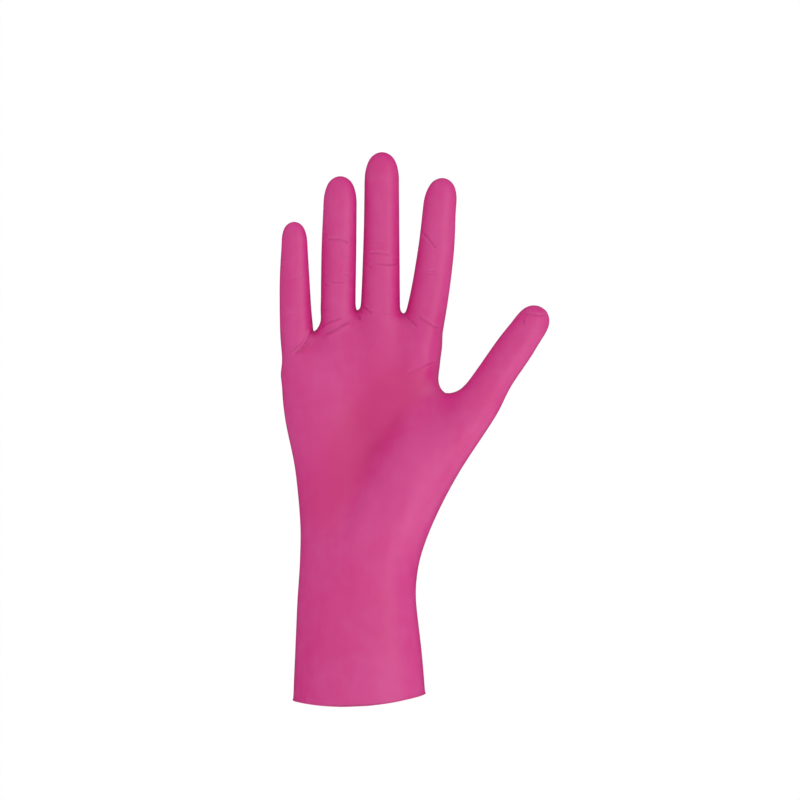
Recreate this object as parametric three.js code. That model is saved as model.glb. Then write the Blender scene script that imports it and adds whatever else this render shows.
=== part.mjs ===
// A dipped nitrile examination glove in the shape it takes on a right hand, with the hollow left open.
// Millimetres. The origin is the middle of the cuff's mouth. +Z runs up to the middle fingertip,
// +X to the thumb, and the palm side faces -Y.

import * as THREE from "three";

// Lengths up the glove
const cuffLength = 60; // mouth to the wrist
const palmLength = 109; // wrist to the web between the middle and ring fingers
const fingerLength = 71; // that web to the middle fingertip
const thumbLength = 131; // ball of the thumb by the wrist to the thumb's tip

// Widths across, and depths from the palm side to the back
const cuffWidth = 58.8;
const cuffDepth = 46;
const palmWidth = 71;
const palmDepth = 28;
const fingerWidth = 16;
const thumbWidth = 17;

// Set of the thumb, tips, film and cuff bead
const thumbAngle = 56.5; // degrees between the thumb and the mouth's plane
const tipLength = 13.6; // rounded end of a finger as wide as fingerWidth
const wall = 1;
const limbSquare = 2.15; // 2 is an ellipse, more is squarer
const beadThickness = 1.9; // rolled edge of the cuff
const mouthSlant = 3; // the thumb side of the mouth sits higher than the other by this
const mouthDip = 3.6; // the palm side of the mouth sits lower than the back by this

// How far two skins blend where they meet
const fingerBlend = 1.2;
const palmBlend = 5;
const thumbBlend = 18;

// Cuff sections: up is a share of cuffLength, left and right of cuffWidth, front and back of cuffDepth
const cuffSections = [
  { up: 0, left: -0.5, right: 0.492, front: -0.5, back: 0.5, square: 2.1 },
  { up: 0.35, left: -0.484, right: 0.46, front: -0.455, back: 0.455, square: 2.1 },
  { up: 0.72, left: -0.467, right: 0.418, front: -0.405, back: 0.4, square: 2.1 },
];

// Palm sections: up is a share of palmLength above the wrist, left and right of palmWidth,
// front and back of palmDepth
const palmSections = [
  { up: 0, left: -0.369, right: 0.338, front: -0.6, back: 0.6, square: 2.2 },
  { up: 0.16, left: -0.363, right: 0.365, front: -0.53, back: 0.55, square: 2.3 },
  { up: 0.37, left: -0.396, right: 0.42, front: -0.49, back: 0.5, square: 2.4 },
  { up: 0.57, left: -0.462, right: 0.472, front: -0.47, back: 0.48, square: 2.5 },
  { up: 0.75, left: -0.492, right: 0.472, front: -0.43, back: 0.45, square: 2.5 },
  { up: 0.9, left: -0.492, right: 0.508, front: -0.35, back: 0.37, square: 2.4 },
];

// Webs between the fingers: across is a share of palmWidth, up of palmLength above the wrist
const webs = [
  { across: -0.279, up: 0.931 },
  { across: -0.02, up: 0.993 },
  { across: 0.269, up: 1 },
];
const webRound = palmDepth * 0.4; // the palm's top edge rounds off over this height

// Fingers: root and tip are shares of palmWidth across, reach is a share of fingerLength above the
// middle web, bow a share of fingerWidth to the right at half length, curl a share of it towards the
// palm at the tip, and the widths, at the root, two joints and the start of the tip, are shares of it
const fingers = [
  { root: -0.38, tip: -0.408, reach: 0.567, bow: -0.04, curl: 0.3, widths: [0.95, 0.885, 0.81, 0.705] },
  { root: -0.136, tip: -0.12, reach: 0.85, bow: -0.02, curl: 0.25, widths: [0.98, 0.955, 0.955, 0.91] },
  { root: 0.117, tip: 0.138, reach: 1, bow: 0.02, curl: 0.2, widths: [1.18, 1.06, 0.98, 0.945] },
  { root: 0.337, tip: 0.521, reach: 0.838, bow: 0.12, curl: 0.25, widths: [1.2, 1.07, 0.99, 0.9] },
];
// The four widths are at these shares of the way to the tip, and depth is a share of the width there
const joints = [
  { way: 0, depth: 1.2 },
  { way: 0.36, depth: 1.02 },
  { way: 0.72, depth: 0.93 },
  { way: 1, depth: 0.9 },
];
const rootDepth = 0.3; // a finger starts this share of fingerLength below the middle web

// Thumb: along is a share of thumbLength, the rest are shares of thumbWidth. Side is how far the
// middle line bends to the right, forward is how far it stands towards the palm
const thumbSections = [
  { along: 0, side: -0.16, width: 1.33, forward: 0.1, depth: 1.5 },
  { along: 0.26, side: -0.23, width: 1.5, forward: 0.26, depth: 1.62 },
  { along: 0.47, side: -0.12, width: 1.28, forward: 0.42, depth: 1.3 },
  { along: 0.62, side: -0.04, width: 1.1, forward: 0.52, depth: 1.1 },
  { along: 0.72, side: -0.065, width: 0.97, forward: 0.56, depth: 0.98 },
  { along: 0.83, side: -0.05, width: 0.955, forward: 0.58, depth: 0.94 },
  { along: 0.915, side: -0.02, width: 0.9, forward: 0.6, depth: 0.88 },
];
const thumbRoot = { across: 0.113, up: 0.018 }; // shares of palmWidth and of palmLength above the wrist
const thumbWeb = { across: 0.54, up: 0.64 }; // just below the web between thumb and palm, in the same shares

// Mounds and hollows of the palm and knuckles on the back: across, forward and rise are shares of
// palmWidth, palmDepth and palmDepth, up is a share of palmLength above the wrist. Wide, deep and tall
// are how far each one spreads, as shares of palmWidth, palmDepth and palmLength
const mounds = [
  { across: -0.25, forward: 0.5, up: 0.26, wide: 0.19, deep: 0.5, tall: 0.26, rise: 0.08 },
  { across: -0.02, forward: 0.5, up: 0.56, wide: 0.17, deep: 0.5, tall: 0.18, rise: -0.13 },
  { across: 0.27, forward: 0.6, up: 0.36, wide: 0.18, deep: 0.6, tall: 0.18, rise: 0.09 },
  { across: 0.05, forward: 0.5, up: 0.85, wide: 0.45, deep: 0.5, tall: 0.1, rise: 0.03 },
  { across: -0.36, forward: -0.45, up: 0.88, wide: 0.08, deep: 0.4, tall: 0.09, rise: 0.035 },
  { across: -0.13, forward: -0.45, up: 0.93, wide: 0.09, deep: 0.4, tall: 0.1, rise: 0.045 },
  { across: 0.12, forward: -0.45, up: 0.95, wide: 0.09, deep: 0.4, tall: 0.1, rise: 0.05 },
  { across: 0.37, forward: -0.45, up: 0.92, wide: 0.09, deep: 0.4, tall: 0.1, rise: 0.045 },
];

// Broad folds of the palm side: from and to are across and up in the shares above, wide and deep are
// shares of palmDepth
const folds = [
  { from: [0.42, 0.69], to: [0.2, 0.55], wide: 0.14, deep: 0.045 },
  { from: [0.2, 0.55], to: [0.06, 0.42], wide: 0.14, deep: 0.05 },
  { from: [0.06, 0.42], to: [-0.1, 0.15], wide: 0.14, deep: 0.04 },
  { from: [-0.42, 0.83], to: [-0.1, 0.9], wide: 0.08, deep: 0.025 },
  { from: [0.2, 0.93], to: [0.47, 0.87], wide: 0.08, deep: 0.025 },
];

// Mesh: how many bands of quads run along each part, and how often the skin is evened out
const bodyBands = 9;
const palmBands = 3;
const fingerBands = [8, 9, 10, 9];
const thumbBands = 6;
const beadBands = 7;
const evenings = 14;
const evening = 0.6; // share of the way that one evening moves a spot
const edgeColumn = 0.35; // the outermost column of the palm, as a share from its edge to the finger's middle
const ringInset = 0.7; // front and back spots of a limb's ring start this share of the way to its sides
const lastRing = 0.35; // a limb's last ring is this share of its rounded end below the tip
const rootRise = 3; // a finger's first ring is this far above the higher web beside it

const wristUp = cuffLength;
const webUp = cuffLength + palmLength;
const tipUp = webUp + fingerLength;
const turn = THREE.MathUtils.degToRad(thumbAngle);
const mix = (a, b, t) => a + (b - a) * t;
const ease = (t) => t * t * (3 - 2 * t);

// Smooth curve through table rows: key is the column that runs along, columns are the ones it reads
function curve(rows, key, columns) {
  const slope = (i, column) => {
    const a = rows[Math.max(i - 1, 0)];
    const b = rows[Math.min(i + 1, rows.length - 1)];
    return (b[column] - a[column]) / (b[key] - a[key]);
  };
  const slopes = rows.map((row, i) => columns.map((column) => slope(i, column)));
  return (at) => {
    const place = Math.min(Math.max(at, rows[0][key]), rows[rows.length - 1][key]);
    let i = 0;
    while (i < rows.length - 2 && place > rows[i + 1][key]) i += 1;
    const span = rows[i + 1][key] - rows[i][key];
    const t = (place - rows[i][key]) / span;
    const rise = ease(t);
    const leave = t * (1 - t) * (1 - t) * span;
    const arrive = t * t * (t - 1) * span;
    return columns.map((column, c) => (
      mix(rows[i][column], rows[i + 1][column], rise) + leave * slopes[i][c] + arrive * slopes[i + 1][c]
    ));
  };
}

// Signed gap to a rounded section of half width and half depth, closed by a cap where over is above 0
function gapTo(side, deep, over, halfWidth, halfDepth, cap, square) {
  const across = Math.abs(side) / halfWidth;
  const rest = Math.hypot(deep / halfDepth, over / cap);
  const size = (across ** square + rest ** square) ** (1 / square);
  if (size < 0.001) return -Math.min(halfWidth, halfDepth);
  return Math.hypot(side, deep, over) * (1 - 1 / size);
}

// Smallest of two gaps, blended over a width
function blend(a, b, width) {
  const near = Math.max(width - Math.abs(a - b), 0);
  return Math.min(a, b) - (near * near) / (4 * width);
}

const bodySections = [
  ...cuffSections.map((row) => ({
    up: row.up * cuffLength,
    left: row.left * cuffWidth,
    right: row.right * cuffWidth,
    front: row.front * cuffDepth,
    back: row.back * cuffDepth,
    square: row.square,
  })),
  ...palmSections.map((row) => ({
    up: wristUp + row.up * palmLength,
    left: row.left * palmWidth,
    right: row.right * palmWidth,
    front: row.front * palmDepth,
    back: row.back * palmDepth,
    square: row.square,
  })),
];
const bodyAt = curve(bodySections, "up", ["left", "right", "front", "back", "square"]);

const webPoints = webs.map((web) => ({ x: web.across * palmWidth, z: wristUp + web.up * palmLength }));

// Height of the palm's top edge: the parabola through the three webs
function topAt(x) {
  const [a, b, c] = webPoints;
  return a.z * ((x - b.x) * (x - c.x)) / ((a.x - b.x) * (a.x - c.x))
    + b.z * ((x - a.x) * (x - c.x)) / ((b.x - a.x) * (b.x - c.x))
    + c.z * ((x - a.x) * (x - b.x)) / ((c.x - a.x) * (c.x - b.x));
}

function bodyGap(x, y, z) {
  const [left, right, front, back, square] = bodyAt(z);
  const over = Math.max(z - (topAt(x) - webRound), 0);
  return gapTo(x - (left + right) / 2, y - (front + back) / 2, over,
    (right - left) / 2, (back - front) / 2, webRound, square);
}

// A finger or the thumb: a middle line in its own frame, widths along it and a rounded end
function limb(origin, angle, sections, cap) {
  const at = curve(sections, "along", ["side", "half", "forward", "deep"]);
  const along = { x: Math.cos(angle), z: Math.sin(angle) };
  const last = sections[sections.length - 1].along;
  const point = (way, share) => {
    const [side, half] = at(way);
    const off = side + half * share;
    return {
      x: origin.x + along.x * way + along.z * off,
      z: origin.z + along.z * way - along.x * off,
    };
  };
  const wayAt = ({ x, z }) => (x - origin.x) * along.x + (z - origin.z) * along.z;
  const gap = (x, y, z) => {
    const dx = x - origin.x;
    const dz = z - origin.z;
    const way = wayAt({ x, z });
    const [side, half, forward, deep] = at(way);
    const over = Math.max(way - last, -way, 0);
    return gapTo(dx * along.z - dz * along.x - side, y + forward, over, half, deep, cap, limbSquare);
  };
  return { gap, point, wayAt, along, cap, reach: last + cap };
}

const fingerLimbs = fingers.map((finger) => {
  const origin = { x: finger.root * palmWidth, z: webUp - rootDepth * fingerLength };
  const tip = { x: finger.tip * palmWidth, z: webUp + finger.reach * fingerLength };
  const reach = Math.hypot(tip.x - origin.x, tip.z - origin.z);
  const cap = tipLength * finger.widths[joints.length - 1];
  const sections = joints.map(({ way, depth }, i) => ({
    along: way * (reach - cap),
    side: finger.bow * fingerWidth * 4 * way * (1 - way),
    half: finger.widths[i] * fingerWidth / 2,
    forward: finger.curl * fingerWidth * way * way,
    deep: finger.widths[i] * depth * fingerWidth / 2,
  }));
  return limb(origin, Math.atan2(tip.z - origin.z, tip.x - origin.x), sections, cap);
});

const thumbLimb = limb(
  { x: thumbRoot.across * palmWidth, z: wristUp + thumbRoot.up * palmLength },
  turn,
  thumbSections.map((row) => ({
    along: row.along * thumbLength,
    side: row.side * thumbWidth,
    half: row.width * thumbWidth / 2,
    forward: row.forward * thumbWidth,
    deep: row.depth * thumbWidth / 2,
  })),
  thumbLength * (1 - thumbSections[thumbSections.length - 1].along),
);

const moundForms = mounds.map((row) => ({
  x: row.across * palmWidth,
  y: -row.forward * palmDepth,
  z: wristUp + row.up * palmLength,
  wide: row.wide * palmWidth,
  deep: row.deep * palmDepth,
  tall: row.tall * palmLength,
  rise: row.rise * palmDepth,
}));

const foldForms = folds.map((row) => ({
  x: row.from[0] * palmWidth,
  z: wristUp + row.from[1] * palmLength,
  dx: (row.to[0] - row.from[0]) * palmWidth,
  dz: (row.to[1] - row.from[1]) * palmLength,
  wide: row.wide * palmDepth,
  deep: row.deep * palmDepth,
}));

// Signed gap to the outer skin: below 0 is inside the glove
function skinGap(x, y, z) {
  let gap = fingerLimbs[0].gap(x, y, z);
  for (const finger of fingerLimbs.slice(1)) gap = blend(gap, finger.gap(x, y, z), fingerBlend);
  const thumb = blend(bodyGap(x, y, z), thumbLimb.gap(x, y, z), thumbBlend);
  gap = blend(gap, thumb, palmBlend);
  for (const form of moundForms) {
    const far = Math.hypot((x - form.x) / form.wide, (y - form.y) / form.deep, (z - form.z) / form.tall);
    gap -= form.rise * Math.exp(-far * far);
  }
  if (y < 0) {
    for (const fold of foldForms) {
      const way = ((x - fold.x) * fold.dx + (z - fold.z) * fold.dz) / (fold.dx ** 2 + fold.dz ** 2);
      const share = Math.min(Math.max(way, 0), 1);
      const far = Math.hypot(x - fold.x - share * fold.dx, z - fold.z - share * fold.dz);
      gap += fold.deep * Math.exp(-((far / fold.wide) ** 2)) * Math.min(-y / fold.wide, 1);
    }
  }
  return gap;
}

const reachOut = 0.05; // step for slopes of the gap

function slopeAt([x, y, z]) {
  return new THREE.Vector3(
    skinGap(x + reachOut, y, z) - skinGap(x - reachOut, y, z),
    skinGap(x, y + reachOut, z) - skinGap(x, y - reachOut, z),
    skinGap(x, y, z + reachOut) - skinGap(x, y, z - reachOut),
  ).divideScalar(2 * reachOut);
}

// The film meets the round bead this far above the bead's middle
const beadRadius = beadThickness / 2;
const beadLift = Math.sqrt(Math.max(beadRadius ** 2 - (wall / 2) ** 2, 0));

// Height at which the film ends and the bead begins
function rimAt(x, y) {
  return mouthSlant * (x / cuffWidth) + mouthDip * (y / cuffDepth) + beadRadius + beadLift;
}

// Moves a spot on to the skin. A rim spot stays in the mouth's edge
function settle(spot, onRim) {
  for (let i = 0; i < 4; i += 1) {
    const slope = slopeAt(spot);
    if (onRim) slope.z = 0;
    const step = skinGap(...spot) / Math.max(slope.lengthSq(), 0.01);
    spot[0] -= slope.x * step;
    spot[1] -= slope.y * step;
    spot[2] = onRim ? rimAt(spot[0], spot[1]) : spot[2] - slope.z * step;
  }
}

// Deepest spot below a point of the front view, and the skin met from there in a direction
function heart({ x, z }) {
  let best = 0;
  let least = Infinity;
  for (let y = -palmDepth; y <= palmDepth; y += 1) {
    const gap = skinGap(x, y, z);
    if (gap < least) {
      least = gap;
      best = y;
    }
  }
  return [x, best, z];
}

function cast(spot, way) {
  let near = 0;
  let far = 1;
  const gapAt = (t) => skinGap(spot[0] + way[0] * t, spot[1] + way[1] * t, spot[2] + way[2] * t);
  while (gapAt(far) < 0 && far < 2 * tipUp) {
    near = far;
    far += 1;
  }
  for (let i = 0; i < 20; i += 1) {
    const middle = (near + far) / 2;
    if (gapAt(middle) < 0) near = middle;
    else far = middle;
  }
  return [spot[0] + way[0] * near, spot[1] + way[1] * near, spot[2] + way[2] * near];
}

const spots = [];
let quads = [];
const keep = (spot) => spots.push(spot) - 1;
const front = (point) => keep(cast(heart(point), [0, -1, 0]));
const back = (point) => keep(cast(heart(point), [0, 1, 0]));
const edge = (point, x, z) => keep(cast(heart(point), [x, 0, z]));

// A ring from its left side over the front, its right side and the back
const ring = (left, points, right) => [left, ...points.map(front), right, ...points.map(back).reverse()];

function bridge(low, high) {
  low.forEach((spot, i) => {
    const next = (i + 1) % low.length;
    quads.push([spot, low[next], high[next], high[i]]);
  });
}

// Share of the way across at each of the spots that divide half a ring evenly
const across = (spot, half) => (1 - Math.cos(Math.PI * spot / half)) / 2;

// Columns of spots up the palm: each finger's middle and the web beside it
const columns = fingers.flatMap((finger, i) => (
  [finger.root * palmWidth, ...webPoints.slice(i, i + 1).map((web) => web.x)]
));
const firstColumn = columns[0];
const lastColumn = columns[columns.length - 1];

// Body from the mouth to the thumb's web: the palm's columns, then three more and a side over the thumb
const thumbColumns = 3;
const palmColumns = columns.length + 2;
const bodyHalf = palmColumns + thumbColumns + 1;
const webCorner = { x: thumbWeb.across * palmWidth, z: wristUp + thumbWeb.up * palmLength };
const fall = Math.PI / 2 - turn;

// Shares of the way over the palm, and from it over the thumb, of a ring at the mouth and one at the web
const palmShare = across(palmColumns, bodyHalf);
const palmAtMouth = Array.from({ length: palmColumns }, (_, i) => across(i + 1, bodyHalf) / palmShare);
const thumbAtMouth = Array.from({ length: thumbColumns }, (_, i) => (
  (across(palmColumns + 1 + i, bodyHalf) - palmShare) / (1 - palmShare)
));
const thumbAtWeb = Array.from({ length: thumbColumns }, (_, i) => across(i + 1, thumbColumns + 1));

function bodyRing(share) {
  const up = webCorner.z * share;
  const [leftEdge] = bodyAt(up);
  const cornerX = mix((palmShare - 0.5) * cuffWidth, webCorner.x, ease(share));
  const drop = fall * share * share;
  const right = cast(heart({ x: cornerX, z: up }), [Math.cos(drop), 0, -Math.sin(drop)]);
  const atWeb = [mix(leftEdge, firstColumn, edgeColumn), ...columns, cornerX];
  const palm = palmAtMouth.map((low, i) => ({ x: mix(mix(leftEdge, cornerX, low), atWeb[i], share), z: up }));
  const thumb = thumbAtMouth.map((low, i) => {
    const part = mix(low, thumbAtWeb[i], share);
    return { x: mix(cornerX, right[0], part), z: mix(up, right[2], part) };
  });
  return ring(edge({ x: firstColumn, z: up }, -1, 0), [...palm, ...thumb], keep(right));
}

const bodyRings = Array.from({ length: bodyBands + 1 }, (_, i) => bodyRing(i / bodyBands));
bodyRings.slice(1).forEach((high, i) => bridge(bodyRings[i], high));

// The top body ring parts into the palm's ring and the thumb's at the web
const top = bodyRings[bodyBands];
const webSpot = edge(webCorner, 0, 1);
const thumbRing = [webSpot, ...top.slice(palmColumns, top.length - palmColumns + 1)];
let palmRing = [...top.slice(0, palmColumns + 1), webSpot, ...top.slice(top.length - palmColumns)];

for (let band = 1; band <= palmBands; band += 1) {
  const heightAt = (x) => mix(webCorner.z, topAt(x) - webRound * ringInset, band / palmBands);
  const spotAt = (x) => ({ x, z: heightAt(x) });
  const [leftEdge] = bodyAt(heightAt(firstColumn));
  const rightEdge = bodyAt(heightAt(lastColumn))[1];
  const line = [mix(leftEdge, firstColumn, edgeColumn), ...columns, mix(rightEdge, lastColumn, edgeColumn)];
  const next = ring(edge(spotAt(firstColumn), -1, 0), line.map(spotAt), edge(spotAt(lastColumn), 1, 0));
  bridge(palmRing, next);
  palmRing = next;
}

// Rings up a limb from its root ring to its closed tip
function limbRings(part, root, start, bands) {
  const half = root.length / 2;
  const shares = Array.from({ length: half - 1 }, (_, i) => 2 * across(i + 1, half) - 1);
  let low = root;
  for (let band = 0; band < bands; band += 1) {
    const way = mix(start, part.reach - part.cap * lastRing, band / (bands - 1));
    const middle = part.point(way, 0);
    const next = ring(
      edge(middle, -part.along.z, part.along.x),
      shares.map((share) => part.point(way, share * ringInset)),
      edge(middle, part.along.z, -part.along.x),
    );
    bridge(low, next);
    low = next;
  }
  const tip = edge(part.point(part.reach - part.cap, 0), part.along.x, part.along.z);
  for (let i = 0; i < low.length; i += 2) {
    quads.push([low[i], low[i + 1], low[(i + 2) % low.length], tip]);
  }
}

// Each finger's root ring shares a front, a middle and a back spot with its neighbour's
const webMiddles = webPoints.map((web) => edge({ x: web.x, z: web.z - webRound }, 0, 1));
fingerLimbs.forEach((finger, i) => {
  const size = palmRing.length;
  const first = 1 + 2 * i;
  const fronts = palmRing.slice(first, first + 3);
  const backs = palmRing.slice(size - first - 2, size - first + 1);
  const left = i === 0 ? palmRing[0] : webMiddles[i - 1];
  const right = i === fingerLimbs.length - 1 ? palmRing[size / 2] : webMiddles[i];
  const beside = [webPoints[i - 1], webPoints[i]].filter(Boolean);
  const start = Math.max(...beside.map((web) => finger.wayAt(web))) + rootRise;
  limbRings(finger, [left, ...fronts, right, ...backs], start, fingerBands[i]);
});
limbRings(thumbLimb, thumbRing, thumbLimb.wayAt(webCorner) + thumbWidth / 2, thumbBands);

// Each quad is cut into four
const middles = new Map();

function middleOf(a, b) {
  const name = [Math.min(a, b), Math.max(a, b)].join(" ");
  if (!middles.has(name)) {
    middles.set(name, keep(spots[a].map((value, i) => (value + spots[b][i]) / 2)));
  }
  return middles.get(name);
}

quads = quads.flatMap((quad) => {
  const centre = keep([0, 1, 2].map((i) => quad.reduce((sum, spot) => sum + spots[spot][i], 0) / 4));
  return quad.map((spot, i) => {
    const after = middleOf(spot, quad[(i + 1) % 4]);
    const before = middleOf(quad[(i + 3) % 4], spot);
    return [spot, after, centre, before];
  });
});
const mouth = bodyRings[0];
const rim = mouth.flatMap((spot, i) => [spot, middleOf(spot, mouth[(i + 1) % mouth.length])]);
const rimSpots = new Set(rim);

// The spots that run over a finger's web from front to back stay where they are in plan
const webSpots = new Set(webMiddles.flatMap((spot, i) => {
  const first = 3 + 2 * i;
  return [middleOf(palmRing[first], spot), spot, middleOf(spot, palmRing[palmRing.length - first])];
}));

function place(i) {
  const [x, y, z] = spots[i];
  if (webSpots.has(i)) spots[i] = cast([x, y, Math.min(z, topAt(x)) - webRound], [0, 0, 1]);
  else settle(spots[i], rimSpots.has(i));
}

// The skin is evened out: every spot moves towards the middle of its neighbours and back on to the skin
const neighbours = spots.map(() => new Set());
quads.forEach((quad) => quad.forEach((spot, i) => {
  const next = quad[(i + 1) % 4];
  if (rimSpots.has(next) || !rimSpots.has(spot)) neighbours[spot].add(next);
  if (rimSpots.has(spot) || !rimSpots.has(next)) neighbours[next].add(spot);
}));
spots.forEach((spot, i) => place(i));
for (let pass = 0; pass < evenings; pass += 1) {
  const before = spots.map((spot) => [...spot]);
  spots.forEach((spot, i) => {
    if (webSpots.has(i)) return;
    const near = [...neighbours[i]];
    [0, 1, 2].forEach((axis) => {
      const average = near.reduce((sum, other) => sum + before[other][axis], 0) / near.length;
      spot[axis] = mix(before[i][axis], average, evening);
    });
    place(i);
  });
}

// Inner skin, one wall further in, and the bead that closes the two
const outer = spots.length;
const normals = spots.map((spot, i) => {
  const slope = slopeAt(spot);
  if (rimSpots.has(i)) slope.z = 0;
  return slope.normalize();
});
const skin = spots.map((spot) => new THREE.Vector3(...spot));
const points = [...skin, ...skin.map((point, i) => point.clone().addScaledVector(normals[i], -wall))];
const outerQuads = quads;
quads = [...outerQuads, ...outerQuads.map((quad) => quad.map((spot) => spot + outer).reverse())];

const beadStart = Math.atan2(beadLift, wall / 2);
let beadRing = rim.map((spot) => spot + outer);
for (let band = 1; band < beadBands; band += 1) {
  const angle = mix(-Math.PI - beadStart, beadStart, band / beadBands);
  const next = rim.map((spot) => {
    const out = beadRadius * Math.cos(angle) - wall / 2;
    const point = points[spot].clone().addScaledVector(normals[spot], out);
    point.z += beadRadius * Math.sin(angle) - beadLift;
    return points.push(point) - 1;
  });
  bridge(beadRing, next);
  beadRing = next;
}
bridge(beadRing, rim);

// Every quad is cut along its shorter diagonal
const triangles = quads.flatMap(([a, b, c, d]) => (
  points[a].distanceTo(points[c]) < points[b].distanceTo(points[d]) ? [a, b, c, a, c, d] : [b, c, d, b, d, a]
));
const geometry = new THREE.BufferGeometry();
const places = points.flatMap((point) => point.toArray());
geometry.setAttribute("position", new THREE.Float32BufferAttribute(places, 3));
geometry.setIndex(triangles);
geometry.computeVertexNormals();

const nitrile = new THREE.MeshStandardMaterial({ color: 0xcd4486, roughness: 0.45, metalness: 0 });
nitrile.name = "nitrile_pink";
const film = new THREE.Mesh(geometry, nitrile);
film.name = "glove_film";
const glove = new THREE.Group();
glove.name = "nitrile_exam_glove";
glove.add(film);

export default glove;
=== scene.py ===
import math

import bmesh
import bpy
import numpy as np
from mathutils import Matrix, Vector


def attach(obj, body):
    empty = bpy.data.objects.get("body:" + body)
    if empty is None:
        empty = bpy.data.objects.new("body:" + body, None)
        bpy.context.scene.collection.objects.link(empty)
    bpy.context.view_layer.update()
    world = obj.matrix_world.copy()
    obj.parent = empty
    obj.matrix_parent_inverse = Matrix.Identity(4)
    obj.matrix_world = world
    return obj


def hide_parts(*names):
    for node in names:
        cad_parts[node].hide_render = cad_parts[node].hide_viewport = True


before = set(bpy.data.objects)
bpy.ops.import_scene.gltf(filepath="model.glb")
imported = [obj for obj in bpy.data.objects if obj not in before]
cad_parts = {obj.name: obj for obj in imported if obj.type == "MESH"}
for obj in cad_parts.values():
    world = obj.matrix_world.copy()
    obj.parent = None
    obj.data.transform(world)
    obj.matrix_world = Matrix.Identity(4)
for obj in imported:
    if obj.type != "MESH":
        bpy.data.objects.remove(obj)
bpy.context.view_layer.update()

print("glove: frame loaded")

mm = 0.001


# the camera looks level at the palm side, from far enough to flatten the perspective
viewpoint = {
    "across": 17.6,
    "up": 130.9,
    "distance": 1400,
    "lens": 143.2,
    "sensor": 36,
    "near": 0.05,      # metres, and far too
    "far": 60,
}


def makeCamera():
    data = bpy.data.cameras.new("viewpoint")
    data.lens = viewpoint["lens"]
    data.sensor_width = viewpoint["sensor"]
    data.clip_start = viewpoint["near"]
    data.clip_end = viewpoint["far"]
    cam = bpy.data.objects.new("viewpoint", data)
    cam.location = (viewpoint["across"] * mm, -viewpoint["distance"] * mm, viewpoint["up"] * mm)
    cam.rotation_euler = (math.radians(90), 0, 0)
    bpy.context.scene.collection.objects.link(cam)
    bpy.context.scene.camera = cam


makeCamera()


# shader maths: a socket that takes part in plain sums
class Wire:
    def __init__(self, finish, socket):
        self.finish = finish
        self.socket = socket

    def reckon(self, operation, left, right):
        return self.finish.node("ShaderNodeMath", {"operation": operation}, {0: left, 1: right})

    def __add__(self, other):
        return self.reckon("ADD", self, other)

    def __radd__(self, other):
        return self.reckon("ADD", other, self)

    def __sub__(self, other):
        return self.reckon("SUBTRACT", self, other)

    def __rsub__(self, other):
        return self.reckon("SUBTRACT", other, self)

    def __mul__(self, other):
        return self.reckon("MULTIPLY", self, other)

    def __rmul__(self, other):
        return self.reckon("MULTIPLY", other, self)


class Finish:  # one material and the nodes in it
    def __init__(self, name):
        self.material = bpy.data.materials.new(name)
        self.material.use_nodes = True
        self.tree = self.material.node_tree
        self.tree.nodes.clear()

    def node(self, kind, settings, inputs, output=0):
        made = self.tree.nodes.new(kind)
        for name, value in settings.items():
            setattr(made, name, value)
        for name, value in inputs.items():
            if isinstance(value, Wire):
                self.tree.links.new(value.socket, made.inputs[name])
            else:
                made.inputs[name].default_value = value
        return Wire(self, made.outputs[output]) if len(made.outputs) else None

    def mixed(self, share, one, other):
        return self.node("ShaderNodeMix", {"data_type": "RGBA"}, {0: share, 6: one, 7: other}, 2)

    def speckle(self, place, scale, detail, roughness):
        return self.node("ShaderNodeTexNoise", {}, {"Vector": place, "Scale": scale, "Detail": detail,
                                                    "Roughness": roughness})

    def ranged(self, value, low, high):
        return self.node("ShaderNodeMapRange", {"clamp": True},
                         {"Value": value, "From Min": low, "From Max": high, "To Min": 0.0, "To Max": 1.0})


def linear(red, green, blue):  # a colour as a screen shows it, 0 to 255
    shares = [c / 255 for c in (red, green, blue)]
    return tuple(c / 12.92 if c <= 0.04045 else ((c + 0.055) / 1.055) ** 2.4 for c in shares) + (1,)


# the film's outline comes from the frame, and its fine folds from the tables below, all in mm
film = {
    "merge": 0.002,        # the frame's loose triangles join up within this
    "joinTurn": 60,        # degrees that two triangles may turn and still become one face
    "joinSkew": 80,
    "solidWall": 1.0,      # wall of the solid in the frame
    "wall": 0.45,          # wall that shows at the mouth
    "solidBead": 0.95,     # radius of the solid's rolled edge
    "bead": 0.54,          # radius that shows
    "slant": 3 / 58.8,     # how the mouth's plane rises to the thumb side
    "dip": 3.6 / 46,       # and to the back
    "edgeTop": 8.0,        # the rolled edge lies below this height
    "underTop": 7.0,       # and its underside below this one
    "underFacing": -0.72,
    "rimSlack": 0.02,      # how near to the rim's height its points lie
    "skinSlack": 0.1,      # how near to the outer rim a point counts as one of its own
    "mouthFront": 23.0,    # from the middle of the mouth to its palm side
    "mouthCorner": 3.6,    # how much the mouth's edge sharpens towards its two sides
    "mouthReach": 16.0,
    "fittings": 3,         # how often the cage is moved to fit
    "evenings": 3,         # how often the outside's points are evened out
}

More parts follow.
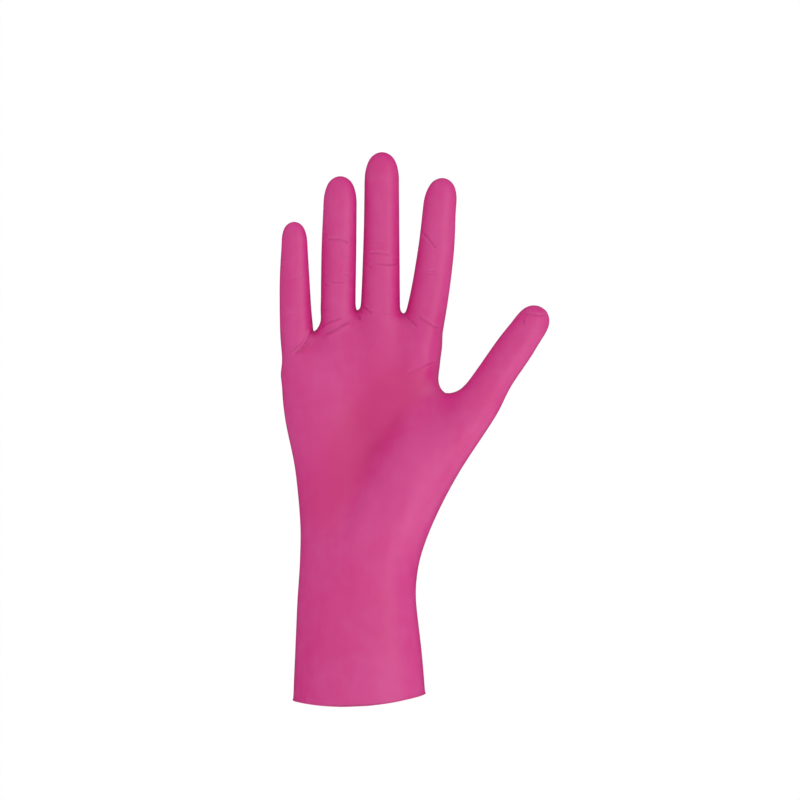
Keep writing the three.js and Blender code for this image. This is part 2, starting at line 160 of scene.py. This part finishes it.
# palm side folds: name, points across and up, depth, half width, raised lip and the side it is on
palmFolds = [
    ("ringUpper", [(-15.2, 201.6), (-9.0, 201.4), (-4.3, 199.8)], 0.34, 0.62, 0.5, 1),
    ("ringEdge", [(-16.4, 203.9), (-14.2, 202.9)], 0.22, 0.55, 0.4, 1),
    ("ringMid", [(-8.6, 193.9), (-3.2, 193.8)], 0.12, 0.5, 0.4, 1),
    ("ringLow", [(-8.6, 186.1), (-3.2, 185.8)], 0.12, 0.5, 0.4, 1),
    ("ringLower", [(-15.3, 183.8), (-11.3, 182.9), (-6.2, 182.4)], 0.2, 0.55, 0.5, -1),
    ("ringLowerEdge", [(-16.6, 181.9), (-13.0, 180.4)], 0.2, 0.5, 0.4, -1),
    ("ringRoot", [(-17.0, 170.9), (-14.2, 169.8)], 0.16, 0.5, 0.4, 1),
    ("middleUpper", [(3.4, 195.6), (9.8, 195.5), (13.6, 194.3)], 0.24, 0.55, 0.5, 1),
    ("middleFaint", [(3.4, 200.2), (9.6, 200.0)], 0.1, 0.55, 0.4, 1),
    ("middleStart", [(2.0, 193.2), (5.6, 192.3)], 0.14, 0.5, 0.4, 1),
    ("middleEnd", [(14.4, 192.7), (17.6, 192.5)], 0.14, 0.5, 0.4, 1),
    ("middleMain", [(6.9, 191.2), (11.1, 190.5), (17.6, 190.5)], 0.26, 0.58, 0.5, -1),
    ("middleLow", [(1.8, 190.7), (5.2, 188.3)], 0.18, 0.5, 0.4, -1),
    ("middleRoot", [(0.9, 172.4), (3.4, 170.2), (5.8, 169.1)], 0.3, 0.6, 0.5, 1),
    ("middleRootFaint", [(9.2, 168.9), (15.2, 168.9)], 0.1, 0.6, 0.4, 1),
    ("indexSlant", [(27.2, 204.4), (30.2, 201.4), (33.7, 197.2)], 0.36, 0.66, 0.6, -1),
    ("indexEdge", [(24.6, 190.2), (26.2, 189.2)], 0.18, 0.5, 0.4, 1),
    ("indexMid", [(30.0, 187.8), (33.2, 187.6)], 0.16, 0.45, 0.4, 1),
    ("indexLow", [(28.3, 186.3), (33.2, 186.1)], 0.12, 0.45, 0.4, -1),
    ("indexRoot", [(25.4, 168.0), (30.8, 164.5), (35.0, 162.0)], 0.28, 0.6, 0.5, 1),
    ("indexRootTwin", [(27.2, 167.0), (31.4, 164.0), (34.4, 162.2)], 0.14, 0.45, 0.3, 1),
    ("indexWeb", [(19.9, 168.1), (22.4, 165.6), (25.1, 163.2)], 0.3, 0.6, 0.5, -1),
    ("littleMid", [(-30.6, 184.4), (-24.0, 184.5)], 0.14, 0.5, 0.4, 1),
    ("littleRoot", [(-32.6, 168.4), (-28.0, 168.6)], 0.1, 0.5, 0.4, 1),
    ("littleWeb", [(-20.6, 162.4), (-22.5, 157.1), (-25.9, 153.2), (-29.6, 151.2)], 0.42, 0.85, 0.7, -1),
    ("littleWebTwin", [(-24.0, 157.8), (-27.2, 154.6), (-31.6, 151.4)], 0.18, 0.55, 0.6, 1),
    ("ringWebHigh", [(-17.6, 162.6), (-14.1, 165.0), (-10.2, 166.4), (-8.2, 167.4)], 0.24, 0.7, 0.6, -1),
    ("ringWebLow", [(-16.4, 159.6), (-11.3, 161.6), (-8.0, 163.8), (-4.4, 165.7)], 0.34, 0.9, 0.7, -1),
    ("ringWebSide", [(-1.4, 169.0), (0.3, 165.6)], 0.3, 0.7, 0.4, 1),
    ("indexPad", [(20.4, 142.4), (26.8, 144.6), (29.9, 146.1), (34.0, 147.4)], 0.16, 0.7, 0.5, 1),
    ("thumbTip", [(70.9, 169.2), (77.1, 168.4), (82.6, 168.1)], 0.2, 0.6, 0.5, 1),
    ("thumbShade", [(71.6, 167.6), (72.1, 163.4)], 0.22, 0.7, 0.5, 1),
]


# back folds, guessed: short creases over the finger joints and slack over the wrist
backFolds = [
    ("littleJoint", [(-35.0, 180.6), (-31.0, 181.6), (-26.6, 181.2)], 0.14, 0.6, 0.6, 1),
    ("littleJointTwin", [(-34.4, 178.6), (-30.6, 179.4), (-26.4, 178.8)], 0.12, 0.55, 0.6, -1),
    ("ringJoint", [(-15.8, 194.8), (-9.4, 196.0), (-3.2, 195.2)], 0.16, 0.6, 0.6, 1),
    ("ringJointTwin", [(-14.6, 192.4), (-8.6, 193.4), (-3.6, 192.4)], 0.14, 0.6, 0.6, -1),
    ("ringJointLow", [(-13.4, 190.0), (-9.8, 190.6), (-5.6, 190.2)], 0.1, 0.5, 0.5, -1),
    ("middleJoint", [(2.6, 198.8), (9.6, 200.2), (16.4, 199.2)], 0.17, 0.62, 0.6, 1),
    ("middleJointTwin", [(3.6, 196.2), (10.2, 197.4), (15.4, 196.4)], 0.14, 0.6, 0.6, -1),
    ("middleJointLow", [(5.2, 193.8), (9.6, 194.4), (13.4, 193.8)], 0.1, 0.5, 0.5, -1),
    ("indexJoint", [(27.6, 194.0), (33.6, 194.6), (38.8, 192.8)], 0.16, 0.6, 0.6, 1),
    ("indexJointTwin", [(27.8, 191.6), (33.2, 192.0), (37.8, 190.4)], 0.14, 0.6, 0.6, -1),
    ("littleEnd", [(-34.0, 193.8), (-29.4, 194.2)], 0.1, 0.5, 0.5, 1),
    ("ringEnd", [(-13.6, 212.0), (-5.0, 212.2)], 0.11, 0.5, 0.5, 1),
    ("middleEnd", [(4.8, 218.2), (13.8, 218.2)], 0.11, 0.5, 0.5, 1),
    ("indexEnd", [(31.6, 210.4), (40.2, 209.4)], 0.11, 0.5, 0.5, 1),
    ("thumbJoint", [(64.2, 148.6), (67.8, 145.0), (69.8, 141.4)], 0.16, 0.6, 0.6, 1),
    ("thumbJointTwin", [(62.2, 146.2), (65.6, 143.2), (67.8, 139.6)], 0.13, 0.6, 0.6, -1),
    ("wristHigh", [(-22.0, 70.8), (-8.0, 68.2), (10.0, 70.0)], 0.2, 1.5, 0.7, 1),
    ("wristLow", [(-12.0, 62.6), (4.0, 60.6), (20.0, 62.8)], 0.18, 1.4, 0.7, -1),
    ("webSlack", [(40.0, 128.0), (36.0, 120.0), (31.0, 112.0)], 0.3, 1.6, 0.7, 1),
]

# broad forms of the palm side: a line of points, how far the film steps up to the left of the way
# along it, half the step's width, how far to both sides it runs out, and how much painted shade lies in a
# band beside it
palmSteps = [
    ("thumbFlank", [(37, 146), (31, 140), (22.2, 131), (13.4, 118.5), (5.9, 108.2), (-0.5, 94),
                    (-6.4, 78), (-9, 62)], 3.0, 6.5, 17, 1),
    ("littleWebEdge", [(-34, 149.5), (-29, 151.5), (-24.5, 155), (-21, 161.5)], 1.1, 1.2, 6, 0),
    ("ringWebEdge", [(-18, 158.6), (-11.5, 161), (-7, 163.4), (-2, 168)], 1.1, 1.2, 6, 0),
    ("indexWebEdge", [(19.5, 169), (22.5, 165.4), (26, 161.5), (30, 158)], 1.1, 1.2, 6, 0),
]

# mounds of the palm side: middle across and up, how wide and tall, rise
palmMounds = [
    ("indexPad", 24, 149, 12, 8, 0.7),
    ("indexEdge", 32.5, 151, 5, 10, 0.8),
    ("littlePad", -22, 142, 9, 14, 0.35),
    ("palmHollow", 11, 121, 14, 12, -0.7),
    ("thumbBall", 26, 110, 11, 15, 0.5),
    ("middleWeb", 2, 163, 5, 6, -0.35),
]

# small moves of the outline: middle across and up, how wide and tall, and the move
edgeMoves = [
    ("palmEdge", -35, 145, 7, 10, 0.6, 0),
    ("indexSide", 37, 152, 5, 5, -0.35, 0),
    ("thumbSide", 82, 156, 6, 8, -0.4, 0.2),
    ("thumbWeb", 38.5, 134, 7, 6, 0.6, 1.2),
]


# how the tables are laid on the film, in mm where not a share
relief = {
    "palmTurn": 0.3,       # a broad form starts where the film turns from the back, and is full
    "palmSoft": 0.9,       # this much further round to the palm side
    "foldTurn": 0.25,      # the same for a fold
    "foldSoft": 0.4,
    "fineTurn": 0.3,       # the mesh is made finer up to this turn
    "fineReach": 1.7,      # and this far round a fold
    "finestReach": 0.75,
    "curveSteps": 8,       # short lines from one point of a fold to the next
    "foldDepth": 1.35,     # times the depths and half widths of the folds' tables
    "foldWidth": 0.8,
    "foldEnd": 2.4,        # in half widths: how far a fold takes to fade at its ends
    "lipPlace": 2.0,       # in half widths
    "lipWidth": 1.2,
    "deepest": 0.85,       # share of the wall that a fold may take
    "stepEnd": 18,         # how far a broad step takes to fade at its ends
    "shadeBandPlace": -5,       # where the band of painted shade lies, to the right of a step, and how far it spreads
    "shadeBandReach": 14,
    "shadeBandBottom": 74,      # height at which the painted shade band ends, and over which it fades
    "shadeBandFade": 40,
    "fullHighlightRise": 1.5,      # a rise that gets the full painted highlight
    "darkest": 0.6,        # painted shade of the deepest creases, and the depth for the full shade
    "darkDepth": 0.65,
    "palest": 0.8,         # the same for the painted highlight on their lips
    "paleRise": 0.3,
    "shadeTop": -0.9,      # from the rim: where the painted shade under the bead starts
    "shadeFade": 0.4,
}


def eased(share):  # from 0 to 1 with a soft start and end
    share = np.clip(share, 0, 1)
    return share * share * (3 - 2 * share)


def fading(along, total, length):  # 1 along a line, and 0 at its two ends
    return eased(np.minimum(along, 1 - along) * total / length)


def turned(normals, way, start, soft):  # 0 where the film faces back, 1 where it faces the palm side
    return np.clip((start - normals[:, 1] * way) / soft, 0, 1)


def mound(across, up, x, z, wide, tall):  # 1 in its middle, and soft all round
    return np.exp(-((across - x) / wide) ** 2 - ((up - z) / tall) ** 2)


def curveThrough(points):  # a smooth run through the points of a fold
    run = []
    steps = relief["curveSteps"]
    ends = [points[0], *points, points[-1]]
    for before, start, end, after in zip(ends, ends[1:], ends[2:], ends[3:]):
        a, b, c, d = (np.array(p, float) for p in (before, start, end, after))
        for step in range(steps):
            t = step / steps
            run.append(0.5 * (2 * b + (c - a) * t + (2 * a - 5 * b + 4 * c - d) * t * t
                              + (3 * b - a - 3 * c + d) * t ** 3))
    run.append(np.array(points[-1], float))
    return np.array(run)


# each place's distance from a line, below 0 to its right, and its share of the way along it
def alongFold(flat, points):
    run = curveThrough(points)
    lengths = np.linalg.norm(np.diff(run, axis=0), axis=1)
    total = lengths.sum()
    best = np.full(len(flat), np.inf)
    side = np.zeros(len(flat))
    way = np.zeros(len(flat))
    done = 0.0
    for start, end, length in zip(run, run[1:], lengths):
        step = (end - start) / length
        offset = flat - start
        t = np.clip(offset @ step, 0, length)
        far = np.linalg.norm(offset - t[:, None] * step, axis=1)
        near = far < best
        best[near] = far[near]
        side[near] = step[0] * offset[near, 1] - step[1] * offset[near, 0]
        way[near] = (done + t[near]) / total
        done += length
    return best * np.where(side < 0, -1, 1), way, total


def underEdge(face):
    return face.calc_center_median().z < film["underTop"] * mm and face.normal.z < film["underFacing"]


def outerFaces(bm):  # walks from the middle fingertip over the outside, as far as the rolled edge
    start = max(bm.verts, key=lambda v: v.co.z).link_faces[0]
    reached = {start}
    front = [start]
    while front:
        face = front.pop()
        for edge in face.edges:
            for other in edge.link_faces:
                if other not in reached and not underEdge(other):
                    reached.add(other)
                    front.append(other)
    return reached


def meshFrom(obj):
    return bpy.data.meshes.new_from_object(obj.evaluated_get(bpy.context.evaluated_depsgraph_get()))


# one level of subdivision surface that still passes through the frame's own points
def roundedOnce(bm, name):
    mesh = bpy.data.meshes.new(name)
    bm.to_mesh(mesh)
    bm.free()
    obj = bpy.data.objects.new(name, mesh)
    bpy.context.scene.collection.objects.link(obj)
    level = obj.modifiers.new("round", "SUBSURF")
    level.levels = 1
    level.render_levels = 1
    wanted = placesOf(mesh)
    cage = wanted.copy()
    for step in range(film["fittings"]):
        smooth = meshFrom(obj)
        cage += wanted - placesOf(smooth)[:len(wanted)]
        bpy.data.meshes.remove(smooth)
        mesh.vertices.foreach_set("co", cage.ravel())
        mesh.update()
    smooth = meshFrom(obj)
    bpy.data.objects.remove(obj)
    fresh = bmesh.new()
    fresh.from_mesh(smooth)
    bpy.data.meshes.remove(smooth)
    bpy.data.meshes.remove(mesh)
    return fresh


def placesOf(mesh):
    places = np.zeros(len(mesh.vertices) * 3)
    mesh.vertices.foreach_get("co", places)
    return places.reshape(-1, 3)


def gather(bm):
    places = np.array([v.co for v in bm.verts]) / mm
    normals = np.array([v.normal for v in bm.verts])
    return places, normals


def splitFiner(bm, faces):
    edges = {edge for face in faces for edge in face.edges}
    bmesh.ops.subdivide_edges(bm, edges=list(edges), cuts=1, use_grid_fill=True, smooth=1.0)


def rimLift(bead, wall):  # how far above the bead's middle the film leaves it
    return math.sqrt(bead ** 2 - (wall / 2) ** 2)


solidLift = rimLift(film["solidBead"], film["solidWall"])
thinLift = rimLift(film["bead"], film["wall"])


def rimHeight(place):  # height at which the film meets its rolled edge
    return film["slant"] * place.x + film["dip"] * place.y + (film["solidBead"] + solidLift) * mm


def thinFilm(bm):  # the inner skin moves out and the rolled edge closes up, as thin as the film looks
    bm.normal_update()
    slack = film["rimSlack"] * mm
    low = [v for v in bm.verts if v.co.z < film["edgeTop"] * mm]
    rim = [v for v in low if abs(v.co.z - rimHeight(v.co)) < slack]
    bead = [v for v in low if v.co.z < rimHeight(v.co) - slack]
    lower = film["solidBead"] - film["bead"] + solidLift - thinLift
    wall = film["wall"] * mm
    moved = {}
    for vert in bead + rim:
        near = sorted(rim, key=lambda other: (other.co.xy - vert.co.xy).length)[:2]
        outer, inner = (v.co.copy() for v in sorted(near, key=lambda other: -other.co.xy.length))
        out = (outer - inner).normalized()
        out.z = 0
        if vert in rim:
            inwards = 0 if (vert.co - outer).length < film["skinSlack"] * mm else wall
            moved[vert] = outer - out * inwards - Vector((0, 0, lower * mm))
        else:
            solidCentre = (outer + inner) / 2 - Vector((0, 0, solidLift * mm))
            centre = outer - out * wall / 2 - Vector((0, 0, (lower + thinLift) * mm))
            moved[vert] = centre + (vert.co - solidCentre) * film["bead"] / film["solidBead"]
    for vert in bm.verts:
        if vert not in moved and all(face.material_index == 1 for face in vert.link_faces):
            vert.co -= vert.normal * (film["solidWall"] - film["wall"]) * mm
    for vert, place in moved.items():
        vert.co = place
    print("film: rolled edge", len(bead), "points,", len(rim), "at the rim")


def asSeen(places):  # where the camera sees each point, in the plane through the middle of the glove
    away = viewpoint["distance"] / (viewpoint["distance"] + places[:, 1])
    across = viewpoint["across"] + (places[:, 0] - viewpoint["across"]) * away
    up = viewpoint["up"] + (places[:, 2] - viewpoint["up"]) * away
    return np.stack([across, up], axis=1)


def foldSets(places):  # the palm's folds are measured as the camera sees them, the back's straight on
    seen = asSeen(places)
    flat = places[:, [0, 2]]
    return [(1, seen, fold) for fold in palmFolds] + [(-1, flat, fold) for fold in backFolds]


def nearFolds(bm, reach):
    places, normals = gather(bm)
    near = np.zeros(len(places), bool)
    for way, flat, (name, points, depth, width, lip, side) in foldSets(places):
        gap, along, total = alongFold(flat, points)
        near |= (np.abs(gap) < reach * max(1, width)) & (normals[:, 1] * way < relief["fineTurn"])
    return [face for face in bm.faces
            if face.material_index == 0 and any(near[vert.index] for vert in face.verts)]


def moldPalm(bm):  # broad steps and mounds of the palm side, on both skins, with painted highlight where they rise and painted shade where they sink
    places, normals = gather(bm)
    seen = asSeen(places)
    across, up = seen.T
    inner = np.array([all(face.material_index == 1 for face in vert.link_faces) for vert in bm.verts])
    facing = eased(turned(normals, np.where(inner, -1, 1), relief["palmTurn"], relief["palmSoft"]))
    shift = np.zeros(len(places))
    bandShade = np.zeros(len(places))
    for name, points, rise, width, reach, withShade in palmSteps:
        gap, along, total = alongFold(seen, points)
        ends = fading(along, total, relief["stepEnd"])
        shift += rise / 2 * np.tanh(gap / width) * np.exp(-(gap / reach) ** 2) * ends
        spread = np.exp(-((gap - relief["shadeBandPlace"]) / relief["shadeBandReach"]) ** 2)
        fade = np.clip((up - relief["shadeBandBottom"]) / relief["shadeBandFade"], 0, 1)
        bandShade = np.maximum(bandShade, spread * ends * fade * withShade)
    for name, x, z, wide, tall, rise in palmMounds:
        shift += rise * mound(across, up, x, z, wide, tall)
    shift *= facing
    paintedLightAndShade = bm.verts.layers.float.new("paintedLightAndShade")  # painted highlight up to 1 where the film rises, painted shade down to -1 where it sinks or lies in the shaded band
    for vert, move, shaded in zip(bm.verts, shift, bandShade * facing):
        vert.co.y -= float(move) * mm
        vert[paintedLightAndShade] = float(np.clip(move / relief["fullHighlightRise"] - shaded, -1, 1))


def moldOutline(bm):  # the mouth's two corners and small moves of the outline
    places, normals = gather(bm)
    forward = np.clip(-places[:, 1] / film["mouthFront"], 0, 1)
    nearMouth = np.clip(1 - places[:, 2] / film["mouthReach"], 0, 1) ** 2
    shift = np.zeros((len(places), 2))
    shift[:, 1] = film["mouthCorner"] * forward * (1 - forward) * nearMouth
    for name, x, z, wide, tall, moveX, moveZ in edgeMoves:
        share = mound(places[:, 0], places[:, 2], x, z, wide, tall)
        shift += share[:, None] * (moveX, moveZ)
    for vert, (sideways, upwards) in zip(bm.verts, shift):
        vert.co.x += float(sideways) * mm
        vert.co.z += float(upwards) * mm


def layFolds(bm):  # each fold is a narrow dip with a raised lip on one side, which runs out at its ends
    places, normals = gather(bm)
    outer = np.array([any(face.material_index == 0 for face in vert.link_faces) for vert in bm.verts])
    above = np.array([vert.co.z - rimHeight(vert.co) for vert in bm.verts]) / mm
    shift = np.zeros(len(places))
    lipHighlight = np.zeros(len(places))
    # painted shade under the rolled edge
    creaseShade = np.clip((relief["shadeTop"] - above) / relief["shadeFade"], 0, 1)
    for way, flat, (name, points, depth, width, lip, side) in foldSets(places):
        gap, along, total = alongFold(flat, points)
        facing = turned(normals, way, relief["foldTurn"], relief["foldSoft"]) * outer
        share = fading(along, total, relief["foldEnd"] * width) * facing
        depth = depth * relief["foldDepth"]
        width = width * relief["foldWidth"]
        dip = np.exp(-(gap / width) ** 2)
        raised = np.exp(-((gap * side - relief["lipPlace"] * width) / (relief["lipWidth"] * width)) ** 2)
        shift += (lip * raised - dip) * depth * share
        # painted shade in each fold's dip, and painted highlight on its lip
        creaseShade = np.maximum(creaseShade, dip ** 2 * share * min(relief["darkest"], depth / relief["darkDepth"]))
        lipHighlight = np.maximum(lipHighlight, raised * share * min(relief["palest"], lip * depth / relief["paleRise"]))
    deepest = film["wall"] * relief["deepest"]
    shift = np.where(shift < 0, -deepest * np.tanh(-shift / deepest), shift)
    paintedShade = bm.verts.layers.float.new("paintedShade")
    paintedLightAndShade = bm.verts.layers.float["paintedLightAndShade"]
    for vert, move, mark, highlit in zip(bm.verts, shift, creaseShade, lipHighlight):
        vert.co += vert.normal * float(move) * mm
        vert[paintedShade] = float(mark)
        vert[paintedLightAndShade] = min(1.0, vert[paintedLightAndShade] + float(highlit))  # painted highlight on a fold's raised lip


def joinedFrame():  # a copy of the frame's solid, merged, with its outside marked 0 and its inside 1
    bm = bmesh.new()
    bm.from_mesh(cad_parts["glove_film"].data)
    bmesh.ops.remove_doubles(bm, verts=bm.verts, dist=film["merge"] * mm)
    bmesh.ops.join_triangles(bm, faces=bm.faces, angle_face_threshold=math.radians(film["joinTurn"]),
                             angle_shape_threshold=math.radians(film["joinSkew"]))
    bm.normal_update()
    for face in bm.faces:
        face.material_index = 1
    for face in outerFaces(bm):
        face.material_index = 0
    print("film: outside", sum(f.material_index == 0 for f in bm.faces), "of", len(bm.faces), "faces")
    return bm


def makeFilm():
    bm = joinedFrame()
    thinFilm(bm)
    bm = roundedOnce(bm, "film_cage")

    # the outside is made finer, and finer again round the folds
    splitFiner(bm, [face for face in bm.faces if face.material_index == 0])
    outside = {vert for face in bm.faces if face.material_index == 0 for vert in face.verts}
    for step in range(film["evenings"]):
        bmesh.ops.smooth_vert(bm, verts=list(outside), factor=0.5, use_axis_x=True, use_axis_y=True,
                              use_axis_z=True)
    bm.normal_update()
    moldPalm(bm)
    moldOutline(bm)
    bm.normal_update()
    for reach in (relief["fineReach"], relief["finestReach"]):
        splitFiner(bm, nearFolds(bm, reach))
        bm.normal_update()
    print("film:", len(bm.faces), "faces after the folds are made finer")

    layFolds(bm)
    for face in bm.faces:
        face.smooth = True
        face.material_index = 0
    mesh = bpy.data.meshes.new("nitrile_film")
    bm.to_mesh(mesh)
    bm.free()
    obj = bpy.data.objects.new("nitrile_film", mesh)
    bpy.context.scene.collection.objects.link(obj)
    return obj


nitrile = {
    "creaseShadeColour": (160, 20, 88),     # painted shade in the creases and under the rolled edge
    "hollowShadeColour": (200, 8, 114),      # painted shade in the palm's hollows and in the band beside the thumb ball
    "base": (203, 20, 122),
    "paleToneAndHighlight": (206, 50, 135), # pale end of the random tone, and painted highlight on rises and fold lips
    # how strongly the painted crease shade is mixed in
    "creaseShadeMix": 0.6,
    "driftScale": 28,            # broad drifts of tone, about 35 mm
    "blotchScale": 190,          # about 5 mm
    "runScale": 150,             # long runs left as the dipped film drained
    "runStretch": 0.16,
    "toneRange": (0.36, 0.64),
    "roughness": 0.43,
    "blotchRoughness": 0.14,
    "creaseRoughness": 0.08,
    "shine": 0.9,
    "grainSize": 0.35,           # mm
    "peelSize": 1.3,
    "peelDepth": 0.02,
    "peelStrength": 0.35,
    "glow": 0.06,                # light that passes through the film
    "glowReach": (0.9, 0.25, 0.45),
}


def makeNitrile():
    finish = Finish("nitrile")
    place = finish.node("ShaderNodeTexCoord", {}, {}, "Object")
    drift = finish.speckle(place, nitrile["driftScale"], 3, 0.55)
    blotch = finish.speckle(place, nitrile["blotchScale"], 2, 0.5)
    upright = finish.node("ShaderNodeMapping", {}, {
        "Vector": place, "Scale": (1, 1, nitrile["runStretch"])})
    runs = finish.speckle(upright, nitrile["runScale"], 2, 0.6)
    tone = finish.ranged(drift * 0.55 + blotch * 0.2 + runs * 0.25, *nitrile["toneRange"])
    paintedShade = finish.node("ShaderNodeAttribute", {"attribute_name": "paintedShade"}, {}, "Fac")
    paintedLightAndShade = finish.node("ShaderNodeAttribute", {"attribute_name": "paintedLightAndShade"}, {}, "Fac")
    paleToneAndHighlight = linear(*nitrile["paleToneAndHighlight"])
    colour = finish.mixed(tone, linear(*nitrile["base"]), paleToneAndHighlight)
    # painted highlight where the film rises or on a fold's lip, painted shade where it sinks or in the
    # band beside the thumb ball
    colour = finish.mixed(finish.ranged(paintedLightAndShade, 0, 1), colour, paleToneAndHighlight)
    colour = finish.mixed(finish.ranged(paintedLightAndShade, 0, -1), colour, linear(*nitrile["hollowShadeColour"]))
    # painted shade in the creases and under the rolled edge
    colour = finish.mixed(paintedShade * nitrile["creaseShadeMix"], colour, linear(*nitrile["creaseShadeColour"]))
    grain = finish.speckle(place, 1 / (nitrile["grainSize"] * mm), 2, 0.6)
    peel = finish.speckle(place, 1 / (nitrile["peelSize"] * mm), 2, 0.5)
    bumps = finish.node("ShaderNodeBump", {}, {
        "Strength": nitrile["peelStrength"],
        "Distance": nitrile["peelDepth"] * mm,
        "Height": grain * 0.4 + peel * 0.6,
    })
    patches = (blotch - 0.5) * nitrile["blotchRoughness"] + paintedShade * nitrile["creaseRoughness"]
    shader = finish.node("ShaderNodeBsdfPrincipled", {}, {
        "Base Color": colour,
        "Roughness": nitrile["roughness"] + patches,
        "Normal": bumps,
        "IOR": 1.5,
        "Specular IOR Level": nitrile["shine"],
        "Subsurface Weight": nitrile["glow"],
        "Subsurface Radius": nitrile["glowReach"],
        "Subsurface Scale": mm,
    })
    finish.node("ShaderNodeOutputMaterial", {}, {"Surface": shader})
    return finish.material


glove = makeFilm()
glove.data.materials.clear()
glove.data.materials.append(makeNitrile())
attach(glove, "root")
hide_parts("glove_film")
print("film: finished,", sum(len(f.vertices) - 2 for f in glove.data.polygons), "triangles")


# a plain pale floor, a plain white surround that only the camera sees, and large soft lights
studio = {
    "floorDrop": 1500,
    "floorRadius": 3000,
    "floorColour": (0.85, 0.85, 0.86),
    "surroundRadius": 9000,
    "fill": 1.03,      # even light from all round, which gives no shine
    "aim": (0.02, 0, 0.12),
    "lights": [        # name, place in metres, width, height and power
        ("right", (1.08, -1.06, 0.12), 0.9, 2.4, 4.6),
        ("front", (0.02, -1.9, 0.12), 2.4, 2.4, 2.5),
        ("side", (1.48, 0.26, 0.12), 1.8, 2.4, 1.7),
    ],
}


def plainFinish(name, colour, roughness, glow=0.0):
    finish = Finish(name)
    shader = finish.node("ShaderNodeBsdfPrincipled", {}, {
        "Base Color": (*colour, 1), "Roughness": roughness, "Emission Color": (1, 1, 1, 1),
        "Emission Strength": glow})
    finish.node("ShaderNodeOutputMaterial", {}, {"Surface": shader})
    return finish.material


def makeFloor():
    bm = bmesh.new()
    bmesh.ops.create_circle(bm, cap_ends=True, segments=96, radius=studio["floorRadius"] * mm)
    bmesh.ops.translate(bm, verts=bm.verts, vec=(0, 0, -studio["floorDrop"] * mm))
    mesh = bpy.data.meshes.new("floor")
    bm.to_mesh(mesh)
    bm.free()
    mesh.materials.append(plainFinish("floor", studio["floorColour"], 0.8))
    floor = bpy.data.objects.new("floor", mesh)
    bpy.context.scene.collection.objects.link(floor)


def makeSurround():
    bm = bmesh.new()
    bmesh.ops.create_icosphere(bm, subdivisions=3, radius=studio["surroundRadius"] * mm)
    bmesh.ops.reverse_faces(bm, faces=bm.faces)
    mesh = bpy.data.meshes.new("surround")
    bm.to_mesh(mesh)
    bm.free()
    mesh.materials.append(plainFinish("surround", (0, 0, 0), 1.0, 1.0))
    surround = bpy.data.objects.new("surround", mesh)
    bpy.context.scene.collection.objects.link(surround)
    surround.visible_diffuse = False
    surround.visible_glossy = False
    surround.visible_transmission = False
    surround.visible_shadow = False


def makeLight(name, place, width, height, watts):
    data = bpy.data.lights.new(name, "AREA")
    data.shape = "RECTANGLE"
    data.size = width
    data.size_y = height
    data.energy = watts
    lamp = bpy.data.objects.new(name, data)
    lamp.location = place
    lamp.rotation_euler = (Vector(studio["aim"]) - Vector(place)).to_track_quat("-Z", "Y").to_euler()
    bpy.context.scene.collection.objects.link(lamp)


def makeWorld():
    world = bpy.data.worlds.new("studio")
    world.use_nodes = True
    bpy.context.scene.world = world
    backdrop = world.node_tree.nodes["Background"]
    backdrop.inputs["Color"].default_value = (1, 1, 1, 1)
    backdrop.inputs["Strength"].default_value = studio["fill"]
    world.cycles_visibility.glossy = False


makeFloor()
makeSurround()
makeWorld()
for light in studio["lights"]:
    makeLight(*light)
bpy.context.scene.view_settings.view_transform = "Standard"
bpy.context.scene.view_settings.look = "None"
print("studio: finished")
